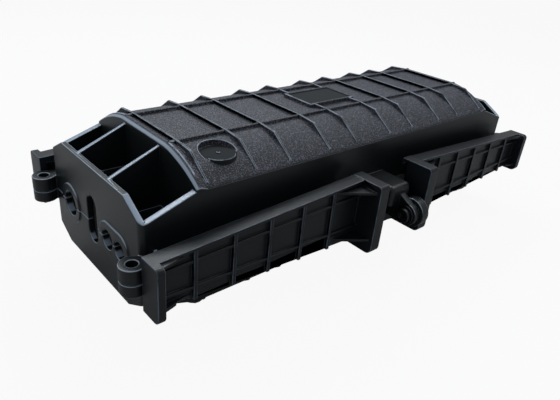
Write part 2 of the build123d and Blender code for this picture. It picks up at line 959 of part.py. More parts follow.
tongue_start = lock_lug_x - lock_gap - lock_tongue_thickness
lug_end = lock_lug_x + lock_lug_thickness
head_start = tongue_start - lock_washer_thickness - lock_head_height
head_end = head_start + lock_head_height

with BuildPart() as bolt:
    with BuildSketch(Plane.YZ.offset(head_start)):
        with Locations((-lock_y, lock_z)):
            Circle(lock_head_radius)
    extrude(amount=lock_head_height)
    with BuildSketch(Plane.YZ.offset(head_start)):
        with Locations((-lock_y, lock_z)):
            RegularPolygon(lock_socket_radius, 6)
    extrude(amount=lock_socket_depth, mode=Mode.SUBTRACT)
    with BuildSketch(Plane.YZ.offset(head_end)):
        with Locations((-lock_y, lock_z)):
            Circle(lock_bolt_radius)
    extrude(amount=lug_end + lock_nut_height - head_end)

with BuildPart() as washer:
    with BuildSketch(Plane.YZ.offset(head_end)):
        with Locations((-lock_y, lock_z)):
            Circle(lock_washer_radius)
            Circle(lock_hole_radius, mode=Mode.SUBTRACT)
    extrude(amount=lock_washer_thickness)

with BuildPart() as nut:
    with BuildSketch(Plane.YZ.offset(lug_end)):
        with Locations((-lock_y, lock_z)):
            RegularPolygon(lock_nut_radius, 6)
            Circle(lock_bolt_radius, mode=Mode.SUBTRACT)
    extrude(amount=lock_nut_height)

for end, side in (("near", -1), ("far", 1)):
    nodes[f"lock_bolt_{end}"] = side_pose(side) * bolt.part
    nodes[f"lock_washer_{end}"] = side_pose(side) * washer.part
    nodes[f"lock_nut_{end}"] = side_pose(side) * nut.part


# Splice organiser inside: carrier plate, hinged trays with holders and lid, cable anchors

tray_right = anchor_x - anchor_width / 2 - tray_end_gap
tray_left = hinge_room - tray_right
tray_length = tray_right - tray_left
tray_x = (tray_left + tray_right) / 2
tray_width = carrier_width - 2 * (carrier_thickness + tray_side_gap)
tray_pitch = tray_height + tray_stack_gap
mandrel_x = tray_length / 2 - mandrel_end_gap - mandrel_radius
hinge_x = tray_left - hinge_reach
hinge_ear_y = tray_width / 2 - hinge_ear_inset
stack_z = carrier_z + tray_gap
hinge_top = stack_z + tray_count * tray_pitch
carrier_length = 2 * anchor_x + anchor_width

with BuildPart() as carrier:
    with BuildSketch(Plane.XY.offset(carrier_z)):
        RectangleRounded(carrier_length, carrier_width, carrier_radius)
    extrude(amount=-carrier_thickness)
    for side in (-1, 1):
        with Locations((0, side * (carrier_width / 2 - carrier_thickness / 2), carrier_z - bury)):
            Box(
                carrier_length - 2 * carrier_lip_inset,
                carrier_thickness,
                carrier_lip + bury,
                align=(Align.CENTER, Align.CENTER, Align.MIN),
            )
        with Locations((hinge_x, side * (hinge_ear_y + hinge_ear + tray_gap), carrier_z - bury)):
            Box(
                hinge_ear,
                hinge_ear,
                hinge_top - carrier_z + bury,
                align=(Align.CENTER, Align.CENTER, Align.MIN),
            )
    with Locations([(x, y, carrier_z) for x, y in post_places]):
        Cylinder(screw_radius + screw_clearance, 4 * carrier_thickness, mode=Mode.SUBTRACT)
    for level in range(tray_count):
        pin_z = stack_z + level * tray_pitch + hinge_ear / 2
        with Locations(Location((hinge_x, 0, pin_z), (90, 0, 0))):
            Cylinder(hinge_pin_radius, carrier_width, mode=Mode.SUBTRACT)
nodes["tray_carrier"] = carrier.part

for level in range(tray_count):
    floor_z = stack_z + level * tray_pitch
    pin_z = floor_z + hinge_ear / 2
    with BuildPart() as tray:
        with BuildSketch(Plane.XY.offset(floor_z)):
            with Locations((tray_x, 0)):
                RectangleRounded(tray_length, tray_width, tray_radius)
        extrude(amount=tray_height)
        with BuildSketch(Plane.XY.offset(floor_z + tray_floor)):
            with Locations((tray_x, 0)):
                RectangleRounded(
                    tray_length - 2 * tray_wall,
                    tray_width - 2 * tray_wall,
                    tray_radius - tray_wall,
                )
        extrude(amount=tray_height, mode=Mode.SUBTRACT)
        with BuildSketch(Plane.XY.offset(floor_z + tray_floor)):
            with Locations((tray_x - mandrel_x, 0), (tray_x + mandrel_x, 0)):
                Circle(mandrel_radius)
                Circle(mandrel_radius - tray_wall, mode=Mode.SUBTRACT)
        extrude(amount=mandrel_height - tray_floor)
        with Locations(
            (tray_left + bury, -hinge_ear_y, floor_z),
            (tray_left + bury, hinge_ear_y, floor_z),
        ):
            Box(
                hinge_reach + hinge_ear / 2 + bury,
                hinge_ear,
                hinge_ear,
                align=(Align.MAX, Align.CENTER, Align.MIN),
            )
        with Locations(Location((hinge_x, 0, pin_z), (90, 0, 0))):
            Cylinder(hinge_pin_radius + hinge_clearance, carrier_width, mode=Mode.SUBTRACT)
    nodes[f"splice_tray_{level + 1}"] = tray.part
    with BuildPart() as tray_pin:
        with Locations(Location((hinge_x, 0, pin_z), (90, 0, 0))):
            Cylinder(hinge_pin_radius, 2 * (hinge_ear_y + hinge_ear * 1.5 + tray_gap))
    nodes[f"tray_pin_{level + 1}"] = tray_pin.part
    with BuildPart() as holder:
        with Locations((tray_x, 0, floor_z + tray_floor)):
            Box(
                holder_length,
                holder_width,
                holder_height,
                align=(Align.CENTER, Align.CENTER, Align.MIN),
            )
        with Locations((tray_x, 0, floor_z + tray_floor + holder_height)):
            with GridLocations(0, holder_width / holder_slots, 1, holder_slots):
                Box(
                    2 * holder_length,
                    holder_slot_width,
                    2 * (holder_height - holder_base),
                    mode=Mode.SUBTRACT,
                )
    nodes[f"splice_holder_{level + 1}"] = holder.part

lid_z = stack_z + (tray_count - 1) * tray_pitch + tray_height
with BuildPart() as lid:
    with BuildSketch(Plane.XY.offset(lid_z)):
        with Locations((tray_x, 0)):
            RectangleRounded(tray_length, tray_width, tray_radius)
    extrude(amount=lid_thickness)
nodes["tray_lid"] = lid.part


def cap_screw(x, y, seat_z, length):
    # Pan head screw standing on its seat, its shank in the hole below.
    with BuildPart() as screw:
        with Locations((x, y, seat_z)):
            Cylinder(screw_head_radius, screw_head_height, align=(Align.CENTER, Align.CENTER, Align.MIN))
            Cylinder(screw_radius, length, align=(Align.CENTER, Align.CENTER, Align.MAX))
    return screw.part


for number, (x, y) in enumerate(post_places, start=1):
    nodes[f"carrier_screw_{number}"] = cap_screw(x, y, carrier_z, carrier_screw_length)

anchor_half = carrier_width / 2 - carrier_thickness - anchor_side_gap
saddle_y = anchor_half - saddle_reach - saddle_side_gap
anchor_top = carrier_z + anchor_thickness
for end, side in (("front", -1), ("rear", 1)):
    bar_x = side * anchor_x
    with BuildPart() as anchor:
        with Locations((bar_x, 0, carrier_z)):
            Box(
                anchor_width,
                2 * anchor_half,
                anchor_thickness,
                align=(Align.CENTER, Align.CENTER, Align.MIN),
            )
        for y in (-saddle_y, saddle_y):
            with Locations((bar_x, y - saddle_hole, anchor_top), (bar_x, y + saddle_hole, anchor_top)):
                Cylinder(screw_radius, 4 * anchor_thickness, mode=Mode.SUBTRACT)
    nodes[f"anchor_bar_{end}"] = anchor.part
    for number, y in enumerate((-saddle_y, saddle_y), start=1):
        with BuildPart() as saddle:
            with BuildSketch(Plane.YZ.offset(bar_x - saddle_width / 2)):
                with Locations((y, anchor_top)):
                    Circle(saddle_radius + saddle_thickness)
                    Rectangle(
                        2 * saddle_reach,
                        saddle_thickness,
                        align=(Align.CENTER, Align.MIN),
                    )
                    Circle(saddle_radius, mode=Mode.SUBTRACT)
                    Rectangle(
                        4 * saddle_reach,
                        4 * saddle_reach,
                        align=(Align.CENTER, Align.MAX),
                        mode=Mode.SUBTRACT,
                    )
            extrude(amount=saddle_width)
            with Locations((bar_x, y - saddle_hole, anchor_top), (bar_x, y + saddle_hole, anchor_top)):
                Cylinder(screw_radius + screw_clearance, 4 * saddle_thickness, mode=Mode.SUBTRACT)
        nodes[f"cable_saddle_{end}_{number}"] = saddle.part
        for letter, hole_y in (("a", y - saddle_hole), ("b", y + saddle_hole)):
            nodes[f"saddle_screw_{end}_{number}{letter}"] = cap_screw(
                bar_x, hole_y, anchor_top + saddle_thickness, saddle_thickness + anchor_thickness
            )

for name in sorted(nodes):
    nodes[name].label = name

os.makedirs("parts", exist_ok=True)
for name, piece in nodes.items():
    export_step(piece, f"parts/{name}.step")
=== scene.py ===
import bmesh
import bpy
import math
from mathutils import Matrix, Vector


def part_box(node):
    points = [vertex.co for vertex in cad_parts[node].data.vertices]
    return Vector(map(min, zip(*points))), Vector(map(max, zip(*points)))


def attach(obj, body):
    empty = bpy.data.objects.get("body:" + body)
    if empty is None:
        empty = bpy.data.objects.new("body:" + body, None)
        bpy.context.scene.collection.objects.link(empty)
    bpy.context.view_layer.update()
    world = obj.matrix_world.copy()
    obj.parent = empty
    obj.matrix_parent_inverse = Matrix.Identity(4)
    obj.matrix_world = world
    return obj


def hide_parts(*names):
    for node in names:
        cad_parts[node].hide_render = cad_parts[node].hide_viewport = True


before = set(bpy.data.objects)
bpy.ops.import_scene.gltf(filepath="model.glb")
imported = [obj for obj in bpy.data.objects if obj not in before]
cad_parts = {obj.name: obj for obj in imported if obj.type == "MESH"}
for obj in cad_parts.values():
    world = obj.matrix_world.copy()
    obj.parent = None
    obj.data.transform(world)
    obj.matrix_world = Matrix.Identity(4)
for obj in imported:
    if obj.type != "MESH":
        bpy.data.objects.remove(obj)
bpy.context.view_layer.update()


# Base shell: the lower half of the closure, one thick moulding of black weatherproof plastic with a
# coarse grained panel, hooded ends, sealing flanges and rails. Every corner of the tool leaves a
# small radius on the part, which catches the light along the ribs and rims.

MOULD_RADIUS = 0.00065
RADIUS_SEGMENTS = 2
SAME_POINT = 2e-6
FLAT_ANGLE = math.radians(0.3)
SHARP_ANGLE = math.radians(28)
CORNER_BEND = math.radians(8)


def bent_edges(edges, least_angle):
    """Those of the edges whose two faces meet at more than this angle."""
    return [
        edge
        for edge in edges
        if len(edge.link_faces) == 2 and edge.calc_face_angle(0) > least_angle
    ]


def rounded_moulding(node_name, radius):
    """A copy of a CAD node, its doubles merged and its sharp edges rounded, outward ones marked."""
    mould = bmesh.new()
    mould.from_mesh(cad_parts[node_name].data)
    outward_corner = mould.faces.layers.float.new("outward_corner")
    bmesh.ops.remove_doubles(mould, verts=mould.verts, dist=SAME_POINT)
    bmesh.ops.dissolve_limit(
        mould, angle_limit=FLAT_ANGLE, verts=mould.verts, edges=mould.edges
    )
    corners = bmesh.ops.bevel(
        mould,
        geom=bent_edges(mould.edges, SHARP_ANGLE),
        offset=radius,
        offset_type="OFFSET",
        segments=RADIUS_SEGMENTS,
        profile=0.5,
        affect="EDGES",
        clamp_overlap=False,
    )
    for face in corners["faces"]:
        bends = bent_edges(face.edges, CORNER_BEND)
        outward = sum(1 for edge in bends if edge.is_convex)
        face[outward_corner] = 1.0 if outward * 2 > len(bends) else 0.0
    bmesh.ops.triangulate(mould, faces=[face for face in mould.faces if len(face.verts) > 4])
    mesh = bpy.data.meshes.new(f"{node_name}_moulding")
    mould.to_mesh(mesh)
    mould.free()
    mesh.shade_smooth()
    moulding = bpy.data.objects.new(f"{node_name}_moulding", mesh)
    bpy.context.scene.collection.objects.link(moulding)
    flat_faces = moulding.modifiers.new("flat_faces_stay_flat", "WEIGHTED_NORMAL")
    flat_faces.keep_sharp = True
    return moulding


def place_moulding(node_name, body, material, radius):
    """Rounds a node, gives it its finish and lets it stand for the node on its body."""
    moulding = rounded_moulding(node_name, radius)
    moulding.data.materials.clear()
    moulding.data.materials.append(material)
    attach(moulding, body)
    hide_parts(node_name)


def add_node(tree, kind, inputs, **settings):
    """A node with its settings, and for each input a plain value or another node's output."""
    node = tree.nodes.new(kind)
    for name, setting in settings.items():
        setattr(node, name, setting)
    for key, value in inputs.items():
        if isinstance(value, bpy.types.NodeSocket):
            tree.links.new(value, node.inputs[key])
        else:
            node.inputs[key].default_value = value
    return node


def maths(tree, operation, first, second=0.0, clamped=False):
    """The result of a sum on two masks or numbers."""
    terms = {0: first, 1: second}
    node = add_node(tree, "ShaderNodeMath", terms, operation=operation, use_clamp=clamped)
    return node.outputs[0]


def ramp(tree, value, start, end, low=0.0, high=1.0):
    """Goes from low to high while the value goes from start to end, and no further."""
    spans = {"Value": value, "From Min": start, "From Max": end, "To Min": low, "To Max": high}
    return add_node(tree, "ShaderNodeMapRange", spans).outputs["Result"]


def blend(tree, mask, first, second, kind="FLOAT"):
    """Goes from first to second with the mask, as numbers or, with the kind RGBA, as colours."""
    ends = {"Factor": mask, "A": first, "B": second}
    return add_node(tree, "ShaderNodeMix", ends, data_type=kind).outputs["Result"]


def mottle(tree, place, per_metre, detail):
    """Soft patches over the piece, from 0 to 1."""
    patches = {"Vector": place, "Scale": per_metre, "Detail": detail}
    return add_node(tree, "ShaderNodeTexNoise", patches).outputs["Fac"]


def new_group(name, kind, inputs, outputs):
    """A node group with its sockets, each a name, a type and, for a number, its usual value."""
    group = bpy.data.node_groups.new(name, kind)
    for direction, sockets in (("INPUT", inputs), ("OUTPUT", outputs)):
        for socket_name, socket_type, *usual_value in sockets:
            socket = group.interface.new_socket(
                socket_name, in_out=direction, socket_type=f"NodeSocket{socket_type}"
            )
            if usual_value:
                socket.default_value = usual_value[0]
    start = group.nodes.new("NodeGroupInput").outputs
    end = group.nodes.new("NodeGroupOutput").inputs
    return group, start, end


PEAKS_BAND = (0.53, 0.62)
FINE_TO_COARSE = 1.7


def spark_grain_group():
    """Spark-eroded grain: pits and peaks of two sizes, as height, and the peaks as a speckle."""
    group, start, end = new_group(
        "spark_grain",
        "ShaderNodeTree",
        (("Vector", "Vector"), ("Grain per metre", "Float", 700.0), ("Fine share", "Float", 0.4)),
        (("Height", "Float"), ("Peaks", "Float")),
    )
    coarse = mottle(group, start["Vector"], start["Grain per metre"], detail=1.0)
    finer = maths(group, "MULTIPLY", start["Grain per metre"], FINE_TO_COARSE)
    fine = add_node(
        group,
        "ShaderNodeTexVoronoi",
        {"Vector": start["Vector"], "Scale": finer, "Smoothness": 0.4},
        feature="SMOOTH_F1",
    )
    height = blend(group, start["Fine share"], coarse, fine.outputs["Distance"])
    group.links.new(height, end["Height"])
    group.links.new(ramp(group, coarse, *PEAKS_BAND), end["Peaks"])
    return group


EDGE_HIGHLIGHT_BAND = (0.28, 0.52)


def edge_highlight_mask_group():
    """Where edges get a painted highlight: the outward corner radii of the moulding, broken up by
    noise.
    """
    group, start, end = new_group(
        "edge_highlight_mask",
        "ShaderNodeTree",
        (("Vector", "Vector"), ("Breaks per metre", "Float", 90.0)),
        (("Mask", "Float"),),
    )
    corner = group.nodes.new("ShaderNodeAttribute")
    corner.attribute_name = "outward_corner"
    noise = mottle(group, start["Vector"], start["Breaks per metre"], detail=3.0)
    patches = ramp(group, noise, *EDGE_HIGHLIGHT_BAND)
    group.links.new(maths(group, "MULTIPLY", corner.outputs["Fac"], patches), end["Mask"])
    return group


spark_grain = spark_grain_group()
edge_highlight_mask = edge_highlight_mask_group()


def new_finish(name):
    """A material, its node tree, its surface shader and the outputs for place and tilt on it."""
    material = bpy.data.materials.new(name)
    material.use_nodes = True
    tree = material.node_tree
    on_piece = tree.nodes.new("ShaderNodeTexCoord").outputs
    return material, tree, tree.nodes["Principled BSDF"], on_piece


def grain_on(tree, place, grain_per_metre, fine_share):
    """The spark grain at its own size in one finish."""
    values = {"Vector": place, "Grain per metre": grain_per_metre, "Fine share": fine_share}
    return add_node(tree, "ShaderNodeGroup", values, node_tree=spark_grain).outputs


def edge_highlight_on(tree, place):
    """Where one finish paints a highlight on its edges."""
    return add_node(tree, "ShaderNodeGroup", {"Vector": place}, node_tree=edge_highlight_mask).outputs[0]


def dress(tree, surface, colour, roughness, height, bump_strength, bump_depth):
    """Gives the surface its colour, its roughness and its raised skin."""
    relief = {"Strength": bump_strength, "Distance": bump_depth, "Height": height}
    skin = add_node(tree, "ShaderNodeBump", relief).outputs["Normal"]
    for name, output in (("Base Color", colour), ("Roughness", roughness), ("Normal", skin)):
        tree.links.new(output, surface.inputs[name])


# Where the shell's finish changes, in metres: each pair is where a zone begins to change and where
# it has changed.
PANEL_FOOT = (0.0462, 0.0480)
ARCH_FACE = (0.1852, 0.1860)
PAD_HALF_LENGTH = (0.0263, 0.0268)
PAD_HALF_WIDTH = (0.0158, 0.0163)
PAD_FACE = (0.0658, 0.0662)
BOSS_MIDDLE = (-0.1544, -0.0525, 0.0596)
BOSS_REACH = (0.0138, 0.0143)
# How far a face has to lean, as parts of its normal, to get a painted highlight as a hood rim or as
# an up-facing edge.
RIM_LEAN_LENGTHWISE = (0.16, 0.26)
RIM_LEAN_SIDEWAYS = (0.30, 0.40)
RIM_FACES_UP_OR_DOWN = (0.42, 0.60)
EDGE_HIGHLIGHT_FACES_UP = (0.15, 0.60)
SHELL_BLACK = (0.0052, 0.0074, 0.0084, 1)
SHELL_FLOW_BLACK = (0.0100, 0.0132, 0.0144, 1)
GRAIN_FLECK = (0.130, 0.132, 0.184, 1)
# Painted highlight colour for the outward edges that face up.
PAINTED_EDGE_HIGHLIGHT = (0.360, 0.420, 0.500, 1)
# Painted highlight colour for the leaning rims of the hoods.
PAINTED_RIM_HIGHLIGHT = (0.330, 0.400, 0.490, 1)
WALL_ROUGHNESS = 0.33
PANEL_ROUGHNESS = 0.56
RIM_ROUGHNESS = 0.20
BARE_ROUGHNESS = 0.90
WALL_RELIEF_SHARE = 0.12


def shell_plastic():
    """Black moulding: grained panel, dull bare pad and boss, satin walls, painted highlights on
    rims and edges.
    """
    material, tree, surface, on_piece = new_finish("shell_plastic")
    place = on_piece["Object"]
    surface.inputs["IOR"].default_value = 1.5
    surface.inputs["Specular IOR Level"].default_value = 0.36
    axes = add_node(tree, "ShaderNodeSeparateXYZ", {0: place}).outputs
    tilt = add_node(tree, "ShaderNodeSeparateXYZ", {0: on_piece["Normal"]}).outputs

    def times(first, second):
        return maths(tree, "MULTIPLY", first, second)

    def beyond(value, band):
        return ramp(tree, maths(tree, "ABSOLUTE", value), *band)

    def within(value, band):
        return ramp(tree, maths(tree, "ABSOLUTE", value), *reversed(band))

    pad_outline = times(within(axes["X"], PAD_HALF_LENGTH), within(axes["Y"], PAD_HALF_WIDTH))
    bare_pad = times(pad_outline, ramp(tree, axes["Z"], *PAD_FACE))
    from_boss = add_node(
        tree, "ShaderNodeVectorMath", {0: place, 1: BOSS_MIDDLE}, operation="DISTANCE"
    )
    bare_boss = within(from_boss.outputs["Value"], BOSS_REACH)
    bare = maths(tree, "MAXIMUM", bare_pad, bare_boss)
    panel = times(beyond(axes["Z"], PANEL_FOOT), within(axes["X"], ARCH_FACE))
    grained = maths(tree, "SUBTRACT", panel, bare, clamped=True)
    # Painted highlight on the hood rims: faces that lean lengthwise or sideways and face up or
    # down.
    leaning = maths(
        tree,
        "MAXIMUM",
        beyond(tilt["X"], RIM_LEAN_LENGTHWISE),
        beyond(tilt["Y"], RIM_LEAN_SIDEWAYS),
    )
    rims = times(
        times(leaning, beyond(tilt["Z"], RIM_FACES_UP_OR_DOWN)), beyond(axes["X"], ARCH_FACE)
    )
    # Painted highlight on the outward edges that face up.
    painted_edge_highlight = times(edge_highlight_on(tree, place), ramp(tree, tilt["Z"], *EDGE_HIGHLIGHT_FACES_UP))

    panel_grain = grain_on(tree, place, grain_per_metre=1050.0, fine_share=0.35)
    wall_grain = grain_on(tree, place, grain_per_metre=1500.0, fine_share=0.2)
    flow = mottle(tree, place, per_metre=14.0, detail=4.0)
    colour = blend(tree, flow, SHELL_BLACK, SHELL_FLOW_BLACK, "RGBA")
    for mask, second in (
        (times(panel_grain["Peaks"], grained), GRAIN_FLECK),
        (painted_edge_highlight, PAINTED_EDGE_HIGHLIGHT),
        (rims, PAINTED_RIM_HIGHLIGHT),
    ):
        colour = blend(tree, mask, colour, second, "RGBA")
    roughness = blend(tree, grained, WALL_ROUGHNESS, PANEL_ROUGHNESS)
    roughness = blend(tree, rims, roughness, RIM_ROUGHNESS)
    roughness = blend(tree, bare, roughness, BARE_ROUGHNESS)
    wall_height = times(wall_grain["Height"], WALL_RELIEF_SHARE)
    height = blend(tree, grained, wall_height, panel_grain["Height"])
    dress(tree, surface, colour, roughness, height, bump_strength=0.7, bump_depth=0.0008)
    return material


black_shell = shell_plastic()
place_moulding("base_shell", "closure", black_shell, MOULD_RADIUS)


# Sealing cords and port seals: soft black rubber, laid in the flange grooves and pressed into the
# ports behind the end plates. Dull, slightly mottled and with no painted edge highlight.

SEAL_RADIUS = 0.0004
RUBBER_BLACK = (0.006, 0.006, 0.006, 1)
RUBBER_BLOOM = (0.020, 0.020, 0.021, 1)
RUBBER_ROUGHNESS = (0.62, 0.85)


def rubber():
    """Dull black rubber with a faint bloom."""
    material, tree, surface, on_piece = new_finish("seal_rubber")
    surface.inputs["Specular IOR Level"].default_value = 0.3
    bloom = mottle(tree, on_piece["Object"], per_metre=120.0, detail=4.0)
    colour = blend(tree, bloom, RUBBER_BLACK, RUBBER_BLOOM, "RGBA")
    dull = ramp(tree, bloom, 0.0, 1.0, *RUBBER_ROUGHNESS)
    dress(tree, surface, colour, dull, bloom, bump_strength=0.3, bump_depth=0.0004)
    return material


black_rubber = rubber()
for seal_name in ("round_port_seal", "pair_port_seal", "slot_port_seal"):
    for end in ("front", "rear"):
        place_moulding(f"{seal_name}_{end}", "closure", black_rubber, SEAL_RADIUS)
for side in ("near", "far"):
    place_moulding(f"side_seal_{side}", "closure", black_rubber, SEAL_RADIUS)


# Tray carrier: a grey moulded plate with turned-up sides and two hinge posts, screwed down on the
# four posts of the base.

CARRIER_RADIUS = 0.0004
CARRIER_GREY = (0.30, 0.31, 0.32, 1)
CARRIER_PALE_GREY = (0.37, 0.38, 0.39, 1)
DULLNESS_SPREAD = 0.08


def moulded_plastic(name, first, second, dullness):
    """A moulding in one colour that varies a little, with a satin skin and faint flow marks."""
    material, tree, surface, on_piece = new_finish(name)
    place = on_piece["Object"]
    flow = mottle(tree, place, per_metre=18.0, detail=4.0)
    colour = blend(tree, flow, first, second, "RGBA")
    dull = ramp(tree, flow, 0.0, 1.0, dullness - DULLNESS_SPREAD, dullness + DULLNESS_SPREAD)
    skin = grain_on(tree, place, grain_per_metre=1300.0, fine_share=0.4)["Height"]
    dress(tree, surface, colour, dull, skin, bump_strength=0.12, bump_depth=0.0003)
    return material


grey_carrier = moulded_plastic("carrier_plastic", CARRIER_GREY, CARRIER_PALE_GREY, dullness=0.5)
place_moulding("tray_carrier", "closure", grey_carrier, CARRIER_RADIUS)


# Anchor bars and cable saddles: zinc-plated steel, cut and pressed from sheet, with the grain of
# rolling along them. They hold the cables' strength members at both ends of the carrier.

BAR_RADIUS = 0.0004
SADDLE_RADIUS = 0.0003
ZINC_GREY = (0.46, 0.47, 0.49, 1)
ZINC_PALE = (0.62, 0.63, 0.64, 1)
ZINC_ROUGHNESS = (0.32, 0.48)
ROLLING_STREAKS = (60.0, 2200.0, 2200.0)


def sheet_metal(name, first, second, roughness):
    """Metal with fine streaks along the closure and a blotchy sheen."""
    material, tree, surface, on_piece = new_finish(name)
    place = on_piece["Object"]
    surface.inputs["Metallic"].default_value = 1.0
    stretched = add_node(tree, "ShaderNodeMapping", {"Vector": place, "Scale": ROLLING_STREAKS})
    streaks = mottle(tree, stretched.outputs[0], per_metre=1.0, detail=2.0)
    blotches = mottle(tree, place, per_metre=160.0, detail=3.0)
    colour = blend(tree, blotches, first, second, "RGBA")
    sheen = ramp(tree, blotches, 0.0, 1.0, *roughness)
    dress(tree, surface, colour, sheen, streaks, bump_strength=0.2, bump_depth=0.0001)
    return material


zinc_plate = sheet_metal("plated_steel", ZINC_GREY, ZINC_PALE, ZINC_ROUGHNESS)
for end in ("front", "rear"):
    place_moulding(f"anchor_bar_{end}", "closure", zinc_plate, BAR_RADIUS)
    for number in (1, 2):
        saddle_name = f"cable_saddle_{end}_{number}"
        place_moulding(saddle_name, "closure", zinc_plate, SADDLE_RADIUS)


# Screws: zinc-plated pan heads with a cross recess. Four hold the carrier to the posts and eight
# hold the saddles to the bars, each tightened to an angle of its own.

CARRIER_SCREW_LENGTH = 0.012
SADDLE_SCREW_LENGTH = 0.005
CROWN_SHARE = 0.45
CROWN_TOP_SHARE = 0.74
RECESS_SHARE = 1.1
SHANK_TIP_SHARE = 0.8
TURNED_SIDES = 32


def screw_tree():
    """Geometry Nodes: a pan head screw standing on each point of the mesh, turned at random."""
    tree, start, end = new_group(
        "pan_head_screws",
        "GeometryNodeTree",
        (
            ("Geometry", "Geometry"),
            ("Head radius", "Float", 0.0038),
            ("Head height", "Float", 0.0026),
            ("Shank radius", "Float", 0.0020),
            ("Shank length", "Float", 0.0120),
            ("Recess width", "Float", 0.0009),
            ("Finish", "Material"),
        ),
        (("Geometry", "Geometry"),),
    )
    tree.is_modifier = True

    def times(socket, factor):
        return maths(tree, "MULTIPLY", socket, factor)

    def at_height(geometry, height):
        offset = add_node(tree, "ShaderNodeCombineXYZ", {"Z": height}).outputs[0]
        lift = {"Geometry": geometry, "Translation": offset}
        return add_node(tree, "GeometryNodeTransform", lift).outputs["Geometry"]

    def turned_part(foot_radius, top_radius, depth):
        sizes = {"Radius Bottom": foot_radius, "Radius Top": top_radius, "Depth": depth}
        cone = add_node(tree, "GeometryNodeMeshCone", {"Vertices": TURNED_SIDES, **sizes})
        return cone.outputs["Mesh"]

    def recess_arm(length, width, depth):
        size = add_node(tree, "ShaderNodeCombineXYZ", {"X": length, "Y": width, "Z": depth})
        return add_node(tree, "GeometryNodeMeshCube", {"Size": size.outputs[0]}).outputs["Mesh"]

    radius, height = start["Head radius"], start["Head height"]
    rim_height = times(height, 1.0 - CROWN_SHARE)
    crown = turned_part(radius, times(radius, CROWN_TOP_SHARE), times(height, CROWN_SHARE))
    recess = add_node(
        tree,
        "GeometryNodeMeshBoolean",
        {"Mesh 1": at_height(crown, rim_height)},
        operation="DIFFERENCE",
    )
    arm, width = times(radius, RECESS_SHARE), start["Recess width"]
    for length, breadth in ((arm, width), (width, arm)):
        cut = at_height(recess_arm(length, breadth, height), height)
        tree.links.new(cut, recess.inputs["Mesh 2"])
    shank_radius, shank_length = start["Shank radius"], start["Shank length"]
    shank = turned_part(times(shank_radius, SHANK_TIP_SHARE), shank_radius, shank_length)
    screw = tree.nodes.new("GeometryNodeJoinGeometry")
    for shape in (
        recess.outputs["Mesh"],
        turned_part(radius, radius, rim_height),
        at_height(shank, times(shank_length, -1.0)),
    ):
        tree.links.new(shape, screw.inputs["Geometry"])
    angle = add_node(
        tree, "FunctionNodeRandomValue", {"Max": math.tau, "Seed": 7}, data_type="FLOAT"
    )
    turn = add_node(tree, "ShaderNodeCombineXYZ", {"Z": angle.outputs[1]}).outputs[0]
    placed = add_node(
        tree,
        "GeometryNodeInstanceOnPoints",
        {"Points": start["Geometry"], "Instance": screw.outputs["Geometry"], "Rotation": turn},
    )
    realized = add_node(
        tree, "GeometryNodeRealizeInstances", {"Geometry": placed.outputs["Instances"]}
    )
    finished = add_node(
        tree,
        "GeometryNodeSetMaterial",
        {"Geometry": realized.outputs["Geometry"], "Material": start["Finish"]},
    )
    tree.links.new(finished.outputs["Geometry"], end["Geometry"])
    return tree


pan_head_screws = screw_tree()


def drive_screws(name, node_names, shank_length):
    """Screws of one length in the places of these CAD nodes, as one plain mesh on the closure."""
    seats = []
    for node_name in node_names:
        low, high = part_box(node_name)
        seats.append(((low[0] + high[0]) / 2, (low[1] + high[1]) / 2, low[2] + shank_length))
    points = bpy.data.meshes.new(f"{name}_seats")
    points.from_pydata(seats, [], [])
    seat_object = bpy.data.objects.new(f"{name}_seats", points)
    bpy.context.scene.collection.objects.link(seat_object)
    modifier = seat_object.modifiers.new("screws", "NODES")
    modifier.node_group = pan_head_screws
    identifiers = {
        item.name: item.identifier
        for item in pan_head_screws.interface.items_tree
        if item.in_out == "INPUT"
    }
    modifier[identifiers["Shank length"]] = shank_length
    modifier[identifiers["Finish"]] = zinc_plate
    evaluated = seat_object.evaluated_get(bpy.context.evaluated_depsgraph_get())
    mesh = bpy.data.meshes.new_from_object(evaluated)
    bpy.data.objects.remove(seat_object)
    mesh.shade_smooth()
    mesh.set_sharp_from_angle(angle=SHARP_ANGLE)
    screws = bpy.data.objects.new(name, mesh)
    bpy.context.scene.collection.objects.link(screws)
    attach(screws, "closure")
    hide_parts(*node_names)


drive_screws(
    "carrier_screws",
    [f"carrier_screw_{number}" for number in (1, 2, 3, 4)],
    CARRIER_SCREW_LENGTH,
)
drive_screws(
    "saddle_screws",
    [
        f"saddle_screw_{end}_{number}{letter}"
        for end in ("front", "rear")
        for number in (1, 2)
        for letter in ("a", "b")
    ],
    SADDLE_SCREW_LENGTH,
)


# Splice trays: three pale mouldings hinged on steel pins at the front of the carrier, each with two
# rings that keep the fibre's bend, a soft black splice comb, and one clear lid over the top tray.

TRAY_RADIUS = 0.0004
PIN_RADIUS = 0.0003
COMB_RADIUS = 0.0003
TRAY_GREY = (0.56, 0.57, 0.56, 1)
TRAY_PALE_GREY = (0.64, 0.65, 0.63, 1)
COMB_BLACK = (0.020, 0.020, 0.022, 1)
COMB_SOFT_BLACK = (0.040, 0.040, 0.043, 1)
LID_TINT = (0.85, 0.90, 0.92, 1)
LID_CLEAR = (0.90, 0.93, 0.94, 1)

